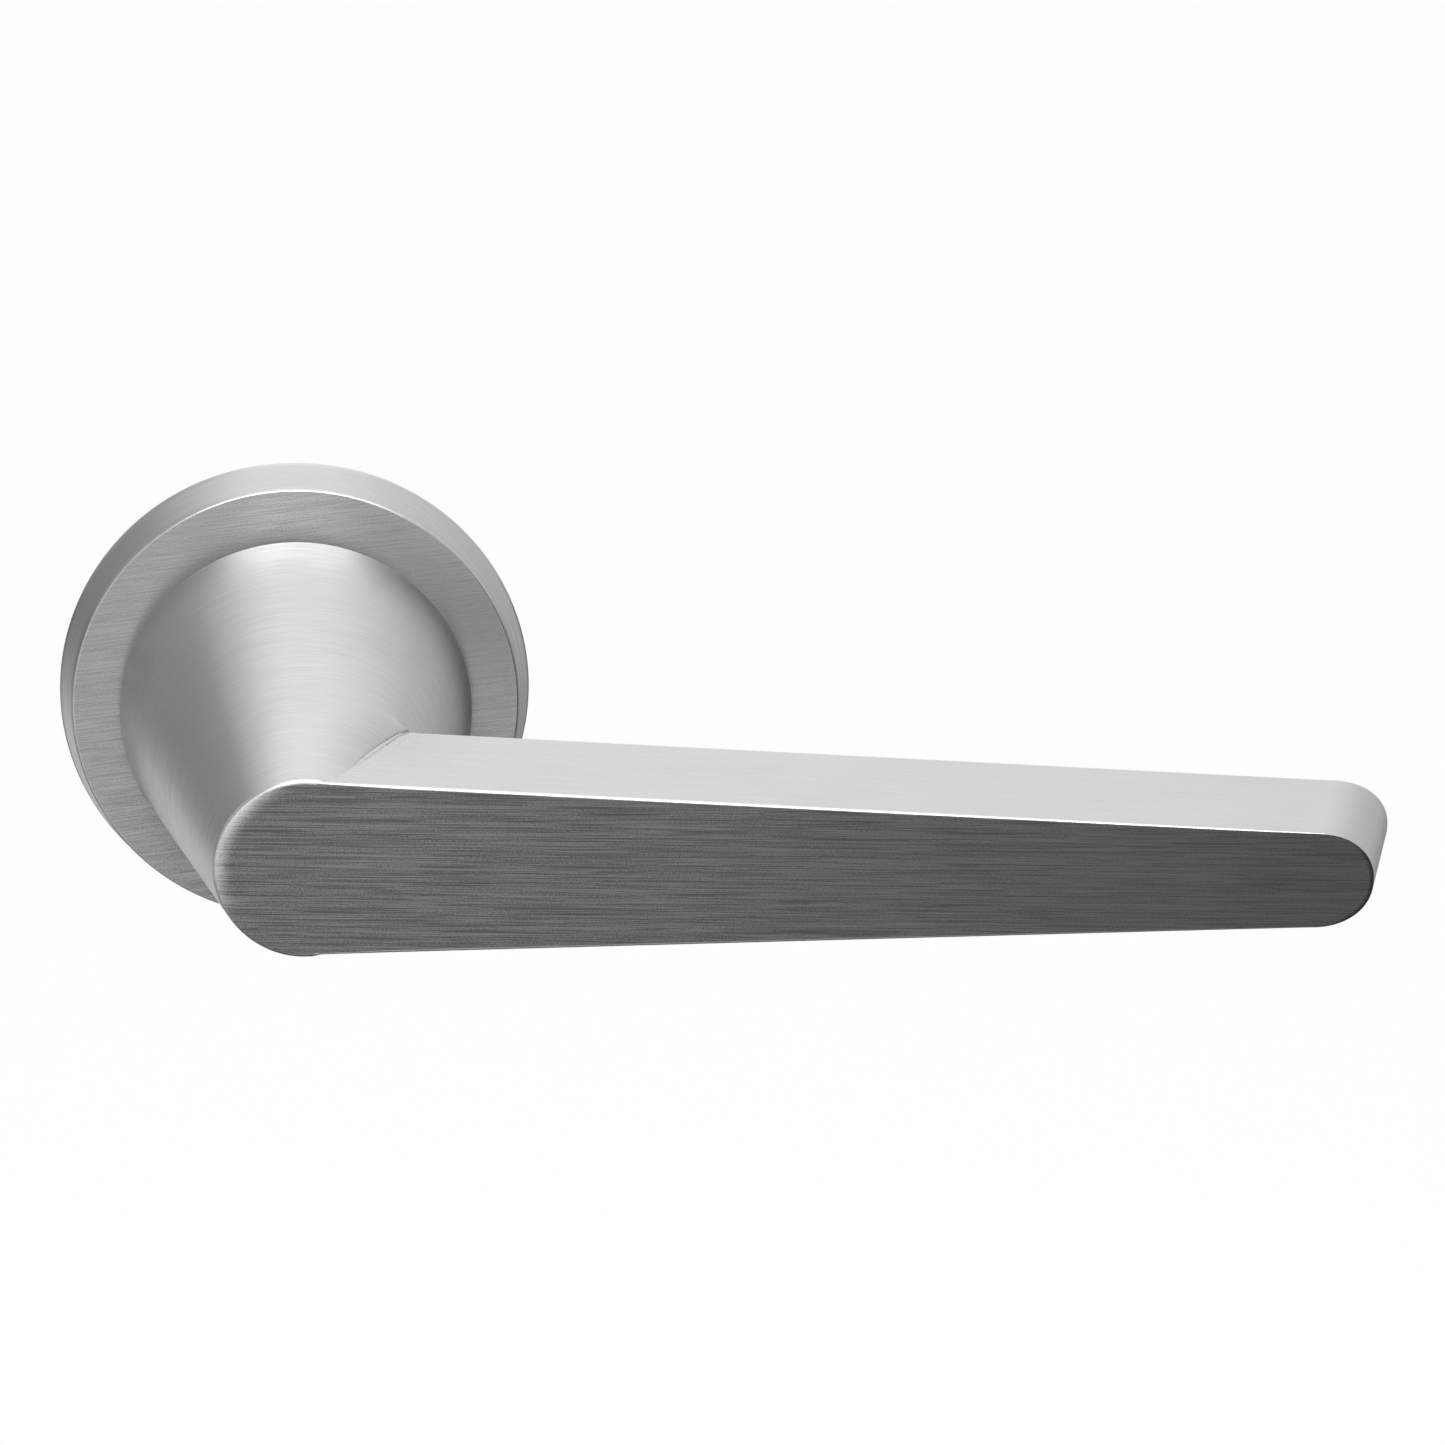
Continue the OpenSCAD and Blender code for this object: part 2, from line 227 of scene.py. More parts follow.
def grip_outline(tip_x):
    """The outline seen from the front, clockwise from the root's top: x and z of each point."""
    tip_start = tip_x - TIP_ROUND
    side_x = tip_start * np.linspace(0, 1, SIDE_STEPS, endpoint=False) ** 1.6
    angle = np.linspace(0, math.pi / 2, TIP_STEPS, endpoint=False)
    tip_dx = TIP_ROUND * np.sin(angle) ** (2 / TIP_POWER)
    tip_z = half_height(tip_start) * np.cos(angle) ** (2 / TIP_POWER)
    proud = STEP * (1 - smooth(side_x, STEP_FROM, STEP_TO))
    top = np.concatenate([
        np.stack([side_x, half_height(side_x) + proud], axis=1),
        np.stack([tip_start + tip_dx, tip_z], axis=1),
    ])
    bottom = top[::-1] * [1, -1]
    turn = np.linspace(-math.pi / 2, -3 * math.pi / 2, ROOT_STEPS + 1)[1:-1]
    radius = GRIP_HALF + ROOT_SWELL + (STEP - ROOT_SWELL) * (1 - smooth(-np.cos(turn), 0.1, 0.9))
    root = np.stack([radius * np.cos(turn), radius * np.sin(turn)], axis=1)
    return np.concatenate([top, [[tip_x, 0]], bottom, root])


def outward(outline):
    """Unit normals of a clockwise outline in the plane of x and z."""
    along = np.roll(outline, -1, axis=0) - np.roll(outline, 1, axis=0)
    normal = np.stack([-along[:, 1], along[:, 0]], axis=1)
    return normal / np.linalg.norm(normal, axis=1)[:, None]


def edge_shape(outline):
    """For each point of the front outline, its edge's rounding and its roll's lean and width."""
    x, z = outline.T
    turn = np.arctan2(z, x)
    at_root = x < STEP_FROM
    edge = np.where(at_root, rim(turn), np.interp(x, *zip(*GRIP_EDGES)))
    lean = np.where(at_root, roll(turn), TIP_SLOPE * smooth(outward(outline)[:, 0], 0.1, 0.6))
    width = np.where(at_root, ROLL_WIDTH, TIP_ROLL)
    return edge, lean, width


def wear_shape(outline):
    """How far the edge and the roll are painted lighter, as polish and as painted highlight: not at the
    tip, nor under the round end.
    """
    x, z = outline.T
    at_root = x < STEP_FROM
    on_edge = 1 - smooth(x, *POLISH_AND_HIGHLIGHT_ENDS)
    # at the round end only the upper side is painted lighter: painted highlight where the light falls
    on_edge = on_edge * np.where(at_root, smooth(z, -0.7 * GRIP_HALF, 0), 1)
    on_roll = on_edge * at_root * roll(np.arctan2(z, x)) / ROLL_SLOPE
    return on_edge, on_roll


def brushing(outline):
    """How far the brush has travelled at each point of the outline, and its direction there."""
    x, z = outward(outline).T
    step = np.linalg.norm(np.roll(outline, -1, axis=0) - outline, axis=1)
    return np.cumsum(step) - step, np.stack([z, 0 * z, -x], axis=1)


class GripShape:
    """Rings of the grip's surface, each a row of points along its outline."""

    def __init__(self):
        self.front, self.back = grip_outline(TIP_X - TIP_LEAN), grip_outline(TIP_X)
        self.edge, self.lean, self.width = edge_shape(self.front)
        self.drop = roll_drop(self.lean, self.edge, self.width)
        self.on_edge, self.on_roll = wear_shape(self.front)
        self.travelled, self.brush = brushing(self.front)
        self.rings, self.wear, self.grain_at, self.grain_dir = [], [], [], []

    def ring(self, height, inset, polished_and_lit):
        height, inset, _ = np.broadcast_arrays(height, inset, self.edge)
        t = ((FRONT - height) / (FRONT - GRIP_BACK))[:, None]
        outline = self.front + (self.back - self.front) * t
        outline = outline - outward(outline) * inset[:, None]
        self.rings.append(np.stack([outline[:, 0], -height, outline[:, 1]], axis=1))
        self.wear.append(polished_and_lit)
        self.grain_at.append(np.stack([self.travelled, -height, 0 * height], axis=1))
        self.grain_dir.append(self.brush)

    def face(self):
        """From the flat of the front face, down the roll towards the edge."""
        start = self.edge * (1 - np.sin(self.lean))
        for t in ROLL_ROWS:
            fall = max(0, 1 - t) ** 2
            inset = start + (self.width - start) * t
            self.ring(FRONT - self.drop * fall, inset, self.on_roll * fall)

    def front_edge(self):
        for t in np.linspace(0, 1, ROUND_STEPS + 1):
            a = self.lean + (math.pi / 2 - self.lean) * t
            height = FRONT - self.drop - self.edge * (np.cos(self.lean) - np.cos(a))
            self.ring(height, self.edge * (1 - np.sin(a)), self.on_edge)

    def side(self):
        top, low = FRONT - self.drop - self.edge * np.cos(self.lean), GRIP_BACK + EDGE
        for t in np.linspace(0.01, 0.99, 12):
            self.ring(top + (low - top) * t, 0.0, 0 * self.on_edge)

    def back_edge(self):
        for a in np.radians(np.linspace(90, 0, ROUND_STEPS + 1)):
            self.ring(GRIP_BACK + EDGE * (1 - math.cos(a)), EDGE * (1 - math.sin(a)), self.on_edge)
        self.ring(GRIP_BACK, EDGE * 1.1, 0 * self.on_edge)


def make_grip():
    shape = GripShape()
    shape.face()
    shape.front_edge()
    shape.side()
    shape.back_edge()
    verts, faces = loft(shape.rings)
    grip = object_of(
        "grip", verts, faces,
        edge_wear=np.concatenate(shape.wear),
        grain_at=np.concatenate(shape.grain_at),
        grain_dir=np.concatenate(shape.grain_dir),
    )
    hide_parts("lever_grip")
    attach(grip, "lever")
    return grip


# ---------------------------------------------------------------- neck

NECK_COLUMNS = 720
NECK_ROWS = 56
NECK_WALL = 1.6 * MM
GRUB_H, GRUB_R = 30 * MM, 3 * MM        # the grub screw's hole in the neck's underside
NECK_BORE_R = NECK_TOP_R - 4.6 * MM     # hole in the neck's back
BORE_BEVEL = 0.3 * MM
LIP_IN, LIP_DOWN = 0.5 * MM, 0.6 * MM   # the rim's inner edge, hidden behind the grip's round end
FLARE = 0.95 * MM                       # extra radius where the weld is dressed back into the cone
FLARE_AT, FLARE_WIDTH = math.radians(40), math.radians(28)
FLARE_PEAK = GRIP_BACK - 1 * MM         # height at which the flare is widest
FLARE_ABOVE, FLARE_BELOW = 7 * MM, 20 * MM  # how far it reaches from there, towards hand and door
CORNER = 0.5 * MM                       # a further swelling where the weld turns behind the grip
CORNER_AT, CORNER_WIDTH = math.radians(37), math.radians(9)
CORNER_REACH = 1.3 * MM
BEAD = 0.3 * MM                         # half the width of the fillet left along the crease
BEAD_FROM = math.radians(33), math.radians(38)  # angles between which the fillet begins
BEAD_FADE, BEAD_END = FRONT - 10 * MM, FRONT - 2 * MM   # heights between which it runs out
BEAD_GROWS = 6 * MM                     # and over which it reaches its full width
LINES_FADE = GRIP_BACK + 1 * MM, GRIP_BACK + 8 * MM # between these heights its painted crease shade grows fainter
END_SHADE_AT, END_SHADE_SIZE = GRIP_BACK + 0.3 * MM, 0.7 * MM # the painted shade at its back end
GROOVE = 0.03 * MM                      # depth of the scratch between the fillet and the neck
LEAST_UNIT = 0.15 * MM                  # width of the rows along the crease where no fillet is left
FAR, NEAR = 4.0, -1.2                   # where those rows begin and end, in fillet widths behind it
NECK_LOW = NECK_BACK + NECK_BEVEL + NECK_EDGE   # height at which the plain cone begins


def cone_r(height):
    t = (height - NECK_BACK - NECK_BEVEL) / (FRONT - NECK_BACK - NECK_BEVEL)
    return NECK_TOP_R + (GRIP_HALF - NECK_TOP_R) * t


def flare(angle, height):
    """The dressed weld: a little extra radius beside the grip, strongest just behind its back face."""
    from_crease = np.minimum(np.abs(angle - FLARE_AT), np.abs(angle + FLARE_AT))
    across = np.exp(-(from_crease / FLARE_WIDTH) ** 2)
    reach = np.where(height > FLARE_PEAK, FLARE_ABOVE, FLARE_BELOW)
    along = np.exp(-((height - FLARE_PEAK) / reach) ** 2)
    beside = np.exp(-((np.abs(angle) - CORNER_AT) / CORNER_WIDTH) ** 2)
    behind = np.exp(-((height - GRIP_BACK) / CORNER_REACH) ** 2)
    return FLARE * across * along + CORNER * beside * behind


def crease(turn):
    """Height at which the neck's surface meets the grip, for each angle round the axis."""
    low, high = np.full(turn.shape, GRIP_BACK), np.full(turn.shape, FRONT)
    for _ in range(30):
        middle = (low + high) / 2
        radius = cone_r(middle) + flare(turn, middle)
        outside = radius * (np.abs(np.sin(turn)) + GRIP_TAPER * np.cos(turn)) > GRIP_HALF
        low, high = np.where(outside, middle, low), np.where(outside, high, middle)
    return low


def weld_shape(turn, meet):
    """Half the fillet's width, and the painted shade of its lines, of its back end and of the rim's
    lower left.
    """
    run = 0.65 + 0.35 * smooth(meet, GRIP_BACK, GRIP_BACK + BEAD_GROWS)
    run = run * (1 - smooth(meet, BEAD_FADE, BEAD_END))
    run = run * smooth(np.abs(turn), *BEAD_FROM)
    lines = run * (1 - 0.65 * smooth(meet, *LINES_FADE))
    end_shade = run * np.exp(-((meet - END_SHADE_AT) / END_SHADE_SIZE) ** 2)
    seam_shade = smooth(-np.sin(turn), -0.35, 0.2) * smooth(-np.cos(turn), 0, 0.2)
    return BEAD * run, lines, end_shade, seam_shade


def weld_marks_and_crease_shade(u, lines, end_shade, seam_shade):
    """Weld marks with painted shade in the crease, at the fillet's back end and along the rim's lower
    left, u fillet widths behind the crease.
    """
    line = math.exp(-((u - 1) / 0.2) ** 2) + math.exp(-((u + 0.5) / 0.35) ** 2)
    shade_haze = 0.3 * math.exp(-((u - 1.6) / 0.8) ** 2)
    shade_wedge = 1.3 * math.exp(-((u - 0.7) / 0.9) ** 2)
    return (line + shade_haze) * lines + shade_wedge * end_shade + seam_shade * (1 - smooth(u, 2, 4))


class NeckShape:
    """Rings of the neck's surface, each a row of points all the way round."""

    def __init__(self):
        self.turn = turn = np.linspace(-math.pi, math.pi, NECK_COLUMNS, endpoint=False)
        self.lean, self.edge = roll(turn), rim(turn)
        self.brink = brink = FRONT - roll_drop(self.lean, self.edge) - self.edge * np.cos(self.lean)
        self.meet = meet = np.where(np.cos(turn) > 0, np.minimum(crease(turn), brink), brink)
        self.bead, *self.dark = weld_shape(turn, meet)
        self.steep = np.tan(np.clip(math.pi / 2 - np.abs(turn), 0, 1) / 2)
        skew = np.hypot(1, np.gradient(meet, TAU / NECK_COLUMNS) / cone_r(meet))
        self.unit = np.maximum(self.bead, LEAST_UNIT) * skew
        # rim and back edge painted lighter all round at the right, only on the upper side at the left:
        # polish, and painted highlight where the light falls
        self.polished_and_lit = np.where(np.cos(turn) < 0, smooth(np.sin(turn), -0.6, 0.6), 1)
        self.rings, self.wear, self.marks = [], [], []

    def ring(self, radius, height, rounded=0.0, mark=0.0):
        self.rings.append(around(self.turn, radius, height))
        self.wear.append(self.polished_and_lit * rounded)
        self.marks.append(np.broadcast_to(mark, self.turn.shape))

    def surface(self, height, u):
        """The cone with its flare and, u fillet widths behind the crease, its fillet and scratch."""
        raised = self.bead * self.steep * max(0, 1 - u)
        scratch = GROOVE * (self.bead / BEAD) * max(0, 1 - abs(u - 1) / 0.2)
        return cone_r(height) + flare(self.turn, height) + raised - scratch

    def back_edge(self):
        self.ring(NECK_TOP_R - NECK_BEVEL, NECK_BACK)
        for radius, height in fillet((cone_r(NECK_LOW) - NECK_EDGE, NECK_LOW), NECK_EDGE, -45, 10, 5):
            self.ring(radius, height, 1.0)

    def outside(self):
        """From the back edge towards the crease, then the narrow rows along it."""
        for t in np.concatenate([[0.004], np.linspace(0.02, 0.99, NECK_ROWS)]):
            height = NECK_LOW + (self.meet - FAR * self.unit - NECK_LOW) * t
            self.ring(self.surface(height, FAR), height)
        for start, end in ((FAR, 1.6), (1.4, 0.6), (0.4, NEAR)):
            for u in np.linspace(start, end, 9):
                height = np.minimum(self.meet - u * self.unit, self.brink)
                self.ring(self.surface(height, u), height, 0.0, weld_marks_and_crease_shade(u, *self.dark))

    def front_edge(self):
        """Over the rim at the left, and behind the grip's surface at the right."""
        top = np.minimum(self.meet - NEAR * self.unit, self.brink)
        at_rim = top > self.brink - 0.01 * MM
        middle = cone_r(self.brink) - self.edge
        sunk = self.surface(top, NEAR)
        for t in np.linspace(0.1, 1, ROUND_STEPS):
            a = (math.pi / 2 - self.lean) * t
            radius = np.where(at_rim, middle + self.edge * np.cos(a), sunk - 0.2 * MM * t)
            risen = self.edge * (np.sin(a + self.lean) - np.sin(self.lean))
            self.ring(radius, np.where(at_rim, self.brink + risen, top), 1.0)
        radius = np.where(at_rim, middle - LIP_IN, cone_r(top) - NECK_WALL)
        self.ring(radius, np.where(at_rim, FRONT - LIP_DOWN, top))
        return top - 1 * MM

    def inside(self, top):
        for t in np.linspace(1, 0, 12):
            height = NECK_LOW + (top - NECK_LOW) * t
            self.ring(cone_r(height) - NECK_WALL, height)
        self.ring(NECK_BORE_R, NECK_BACK + BORE_BEVEL)
        self.ring(NECK_BORE_R + BORE_BEVEL, NECK_BACK)


def make_neck():
    shape = NeckShape()
    shape.back_edge()
    shape.outside()
    shape.inside(shape.front_edge())
    verts, faces = loft(shape.rings, closed=True)
    neck = object_of(
        "neck", verts, faces,
        edge_wear=np.concatenate(shape.wear),
        weld_mark=np.concatenate(shape.marks),
    )
    cut(neck, rod("grub_hole", (0, -GRUB_H, -NECK_TOP_R), (0, -GRUB_H, 0), GRUB_R))
    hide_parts("lever_neck")
    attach(neck, "lever")
    return neck


# ---------------------------------------------------------------- rose cover

ROSE_COLUMNS = 512


def make_rose():
    slope = math.degrees(math.atan2(ROSE_R - ROSE_FRONT_R, ROSE_H))
    back = ROSE_BACK_EDGE
    inside = ROSE_H - ROSE_WALL
    edge_centre = (ROSE_FRONT_R - ROSE_EDGE, ROSE_H - ROSE_EDGE)
    profile, wear = [], []

    def add(points, polished_and_lit):
        profile.extend(points)
        wear.extend([polished_and_lit] * len(points))

    # the rounded edges are painted lighter, as polish and as painted highlight
    add(fillet((ROSE_R - back, back), back, -90, slope, 4), 1.0)
    low, high = back * 1.5, ROSE_H - ROSE_EDGE * 1.4
    for t in np.linspace(0, 1, 8):
        h = low + (high - low) * t
        add([(ROSE_R + (ROSE_FRONT_R - ROSE_R) * h / ROSE_H, h)], 0.0)
    add(fillet(edge_centre, ROSE_EDGE, slope, 90, ROUND_STEPS), 1.0)
    add([(edge_centre[0] - 0.05 * MM, ROSE_H)], 0.0)
    for r in np.linspace(edge_centre[0] - 1 * MM, ROSE_HOLE_R + 0.3 * MM, 10):
        add([(r, ROSE_H)], 0.0)
    add([(ROSE_HOLE_R, ROSE_H - 0.2 * MM), (ROSE_HOLE_R, inside), (ROSE_BORE_R, inside)], 0.0)
    add([(ROSE_BORE_R, back), (ROSE_BORE_R + back, 0)], 0.0)
    verts, faces = loft(lathe(profile, ROSE_COLUMNS), closed=True)
    rose = object_of("rose", verts, faces, edge_wear=np.repeat(wear, ROSE_COLUMNS))
    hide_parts("rose_cover")
    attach(rose, "rose")
    return rose


# ---------------------------------------------------------------- return spring

WIRE_R = 0.6 * MM
SPRING_R = 13.2 * MM
SPRING_START, SPRING_TURNS = math.radians(60), 1.2
COIL_LOW = 1.85 * MM
COIL_TOP = COIL_LOW + 1.25 * MM * SPRING_TURNS
FOOT_END, HEAD_END = 0.4 * MM, 4.6 * MM # heights of the wire's ends, in base plate and drive ring
TANG_BEND = 0.7 * MM                    # height over which the wire turns into a tang


def spring_path():
    """The wire's centre line, from the foot through the coil to the head, as angles and heights."""
    coil = np.linspace(0, 1, 120)
    angle = SPRING_START + TAU * SPRING_TURNS * coil
    foot = np.linspace(FOOT_END, COIL_LOW - TANG_BEND, 4)
    head = np.linspace(COIL_TOP + TANG_BEND, HEAD_END, 4)
    angle = np.concatenate([np.full(4, angle[0]), angle, np.full(4, angle[-1])])
    return angle, np.concatenate([foot, COIL_LOW + (COIL_TOP - COIL_LOW) * coil, head])


def unit_rows(rows):
    return rows / np.linalg.norm(rows, axis=1)[:, None]


def make_spring():
    """The torsion spring, from its foot in the base plate to its head in the drive ring."""
    angle, height = spring_path()
    path = around(angle, SPRING_R, height)
    out = around(angle, 1, 0)
    along = unit_rows(np.gradient(path, axis=0))
    side = unit_rows(np.cross(along, out))
    up = np.cross(side, along)
    turn = np.linspace(0, TAU, 16, endpoint=False)
    rings = [
        centre + WIRE_R * (np.outer(np.cos(turn), a) + np.outer(np.sin(turn), b))
        for centre, a, b in zip(path, up, side)
    ]
    verts, faces = loft(rings)
    spring = object_of("spring", verts, faces)
    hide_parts("return_spring")
    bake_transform(spring)
    return spring


# ---------------------------------------------------------------- materials


def set_range(node, *numbers):
    """Sets a Map Range node's two input and two output limits."""
    for socket, number in zip(("From Min", "From Max", "To Min", "To Max"), numbers):
        node.inputs[socket].default_value = number


class Nodes:
    """Short calls for building a material's node tree."""

    def __init__(self, name):
        self.material = bpy.data.materials.new(name)
        self.material.use_nodes = True
        self.tree = self.material.node_tree
        self.shader = self.tree.nodes["Principled BSDF"]
        self.place = self.add("ShaderNodeTexCoord").outputs["Object"]

    def add(self, kind, **values):
        node = self.tree.nodes.new(kind)
        for key, value in values.items():
            if hasattr(node, key):
                setattr(node, key, value)
            else:
                node.inputs[key.replace("_", " ")].default_value = value
        return node

    def link(self, source, target):
        self.tree.links.new(source, target)

    def maths(self, operation, a, b=None, clamp=False):
        node = self.tree.nodes.new("ShaderNodeMath")
        node.operation, node.use_clamp = operation, clamp
        for socket, value in zip(node.inputs, (a, b)):
            if value is None:
                continue
            if isinstance(value, (int, float)):
                socket.default_value = value
            else:
                self.link(value, socket)
        return node.outputs[0]

    def stretched(self, scale, rotation=(0, 0, 0), detail=2.0, roughness=0.6):
        """Noise whose grain is set by a scale per axis, in cells per metre of the object."""
        turned = self.add("ShaderNodeVectorRotate", rotation_type="EULER_XYZ")
        turned.inputs["Rotation"].default_value = rotation
        self.link(self.place, turned.inputs["Vector"])
        mapping = self.tree.nodes.new("ShaderNodeMapping")
        mapping.inputs["Scale"].default_value = scale
        self.link(turned.outputs[0], mapping.inputs["Vector"])
        noise = self.add("ShaderNodeTexNoise")
        noise.inputs["Scale"].default_value = 1.0
        noise.inputs["Detail"].default_value = detail
        noise.inputs["Roughness"].default_value = roughness
        self.link(mapping.outputs[0], noise.inputs["Vector"])
        return noise.outputs["Fac"]

    def spread(self, value, low, high, out_low, out_high):
        node = self.tree.nodes.new("ShaderNodeMapRange")
        set_range(node, low, high, out_low, out_high)
        self.link(value, node.inputs["Value"])
        return node.outputs["Result"]

    def colour(self, red, green, blue):
        """Links the base colour's three channels."""
        node = self.tree.nodes.new("ShaderNodeCombineColor")
        for channel, level in zip(("Red", "Green", "Blue"), (red, green, blue)):
            self.link(level, node.inputs[channel])
        self.link(node.outputs[0], self.shader.inputs["Base Color"])

    def relief(self, height, strength, distance):
        """A fine bump over the surface."""
        node = self.tree.nodes.new("ShaderNodeBump")
        node.inputs["Strength"].default_value = strength
        node.inputs["Distance"].default_value = distance
        self.link(height, node.inputs["Height"])
        self.link(node.outputs[0], self.shader.inputs["Normal"])


def brushed_steel(name, fine, coarse, rotation=(0, 0, 0), tone=0.6, rough=0.3, contrast=0.25,
                  bump=0.3, anisotropy=0.6, grain=None, drift=0.02, edge_tone=0.1, scratch=None,
                  speckle=0.0, marks=0.0):
    """Satin steel whose grain is two stretched noises, fine and coarse, with edges painted lighter as
    polish and as painted highlight.

    grain is the brush direction in the object's own axes, or "outline" where the mesh holds it;
    without it the grain runs round the Y axis. scratch is the scale and strength of sparse light
    and dark lines, speckle the strength of fine dots, and marks how dark the weld's marks and the
    painted crease shade are.
    """
    n = Nodes(name)
    shader = n.shader
    shader.inputs["Metallic"].default_value = 1.0
    shader.inputs["Anisotropic"].default_value = anisotropy
    shader.inputs["Anisotropic Rotation"].default_value = 0.25
    if grain == "outline":
        n.place = n.add("ShaderNodeAttribute", attribute_name="grain_at").outputs["Vector"]
    mixed = brush_lines(n, fine, coarse, rotation, scratch, speckle)
    polished_and_lit = n.add("ShaderNodeAttribute", attribute_name="edge_wear").outputs["Fac"]
    cloud = n.stretched((30, 30, 30), detail=3.0)
    tint = n.spread(mixed, 0.4, 0.6, tone * (1 - contrast), tone * (1 + contrast))
    tint = n.maths("ADD", tint, n.spread(cloud, 0.3, 0.7, -drift, drift))
    # edges painted lighter: polish, and painted highlight
    tint = n.maths("ADD", tint, n.maths("MULTIPLY", polished_and_lit, edge_tone), clamp=True)
    if marks:
        tint = darken_weld_and_crease_shade(n, tint, marks)
    n.colour(tint, tint, tint)
    n.link(n.spread(mixed, 0.4, 0.6, rough + 0.05, rough - 0.05), shader.inputs["Roughness"])
    n.relief(mixed, bump, 0.02 * MM)
    n.link(brush_direction(n, grain), shader.inputs["Tangent"])
    return n.material


def brush_lines(n, fine, coarse, rotation, scratch, speckle):
    """The pattern of the brushing, about 0.5 on average."""
    lines = n.maths("MULTIPLY", n.stretched(fine, rotation), 0.85)
    streak = n.maths("MULTIPLY", n.stretched(coarse, rotation), 0.15)
    mixed = n.maths("ADD", lines, streak)
    if speckle:
        dots = n.maths("SUBTRACT", n.stretched((5000, 5000, 5000), detail=1.0), 0.5)
        mixed = n.maths("ADD", mixed, n.maths("MULTIPLY", dots, speckle))
    if scratch:
        scale, strength = scratch
        thin = n.stretched(scale, rotation, 0.0, 0.5)
        mixed = n.maths("ADD", mixed, n.spread(thin, 0.62, 0.7, 0, strength))
        mixed = n.maths("SUBTRACT", mixed, n.spread(thin, 0.38, 0.3, 0, strength))
    return mixed


def darken_weld_and_crease_shade(n, tint, marks):
    """The tint with the weld's marks and the painted crease shade over it, broken up into patches."""
    mark = n.add("ShaderNodeAttribute", attribute_name="weld_mark").outputs["Fac"]
    patchy = n.spread(n.stretched((2500, 2500, 2500), detail=2.0), 0.35, 0.65, 0.2, 1)
    dark = n.maths("MULTIPLY", n.maths("MULTIPLY", mark, patchy), marks)
    return n.maths("MULTIPLY", tint, n.maths("SUBTRACT", 1, dark))


def brush_direction(n, grain):
    """The direction the steel was brushed in, as the shader's tangent."""
    if not grain:
        return n.add("ShaderNodeTangent", direction_type="RADIAL", axis="Y").outputs[0]
    turned = n.add(
        "ShaderNodeVectorTransform", vector_type="VECTOR", convert_from="OBJECT", convert_to="WORLD",
    )
    if grain == "outline":
        held = n.add("ShaderNodeAttribute", attribute_name="grain_dir")
        n.link(held.outputs["Vector"], turned.inputs[0])
    else:
        turned.inputs[0].default_value = grain
    return turned.outputs[0]


def plain_metal(name, tone, rough, scale=900, contrast=0.1, metallic=1.0):
    """Unpolished metal or moulded plastic with a fine even grain."""
    n = Nodes(name)
    shader = n.shader
    shader.inputs["Metallic"].default_value = metallic
    grain = n.stretched((scale, scale, scale), detail=4.0)
    cloud = n.stretched((90, 90, 90), detail=3.0)
    mixed = n.maths("ADD", n.maths("MULTIPLY", grain, 0.5), n.maths("MULTIPLY", cloud, 0.5))
    low, high = 1 - contrast, 1 + contrast
    n.colour(*[n.spread(mixed, 0.3, 0.7, level * low, level * high) for level in tone])
    n.link(n.spread(mixed, 0.3, 0.7, rough - 0.08, rough + 0.08), shader.inputs["Roughness"])
    n.relief(grain, 0.25, 0.03 * MM)
    return n.material


def paint(obj, *materials):
    """Puts materials on an object, over the CAD's own slots if it has them."""
    while len(obj.data.materials) < len(materials):
        obj.data.materials.append(None)
    for slot_at in range(len(obj.material_slots)):
        material = materials[min(slot_at, len(materials) - 1)]
        obj.material_slots[slot_at].material = material


def paint_faces(obj, around, front):
    """One material on the faces that look at the hand, another on everything else."""
    paint(obj, around, front)
    for face in obj.data.polygons:
        face.material_index = int(face.normal.y < -FRONT_FACING)


def make_materials():
    """Steel for the grip's front, darkened as painted shade, the grip's sides, the neck, the rose's
    side and the rose's face.
    """
    along, across = (1, 0, 0), (1, 0, 0.1)
    # The grip's front is brushed along the grip, and its tone is set far darker than the sides' steel
    # as painted shade.
    front = brushed_steel(
        "grip_front_shaded_steel", (150, 150, 17000), (45, 45, 5000), tone=0.158, rough=0.42, contrast=0.42,
        bump=0.2, anisotropy=0.7, grain=along, drift=0.008, edge_tone=0.35,
        scratch=((80, 80, 10000), 0.22), speckle=0.5,
    )
    side = brushed_steel(
        "grip_side_steel", (90, 5000, 5000), (30, 1400, 1400), tone=0.58, rough=0.32, contrast=0.04,
        bump=0.05, grain="outline", speckle=0.1,
    )
    neck = brushed_steel(
        "neck_steel", (170, 7000, 170), (60, 1900, 60), tone=0.6, rough=0.33, contrast=0.06, bump=0.08,
        marks=0.95, speckle=0.1,
    )
    rim = brushed_steel(
        "rose_side_steel", (80, 6000, 80), (30, 1500, 30), tone=0.58, rough=0.32, contrast=0.05,
        bump=0.05,
    )
    face = brushed_steel(
        "rose_face_steel", (220, 400, 17000), (90, 120, 6000), rotation=(0, math.radians(8), 0),
        tone=0.37, rough=0.35, contrast=0.22, bump=0.1, anisotropy=0.7, grain=across,
        scratch=((120, 300, 9000), 0.12), speckle=0.5,
    )
    return front, side, neck, rim, face


HARDWARE = {
    "turned_steel": ((0.5, 0.5, 0.51), 0.32, 1.0),
    "zinc_steel": ((0.58, 0.6, 0.64), 0.3, 1.0),
    "black_steel": ((0.03, 0.03, 0.035), 0.45, 0.6),
    "spring_steel": ((0.3, 0.3, 0.32), 0.3, 1.0),
    "black_plastic": ((0.02, 0.02, 0.022), 0.5, 0.0),
    "grey_plastic": ((0.12, 0.125, 0.13), 0.55, 0.0),
}


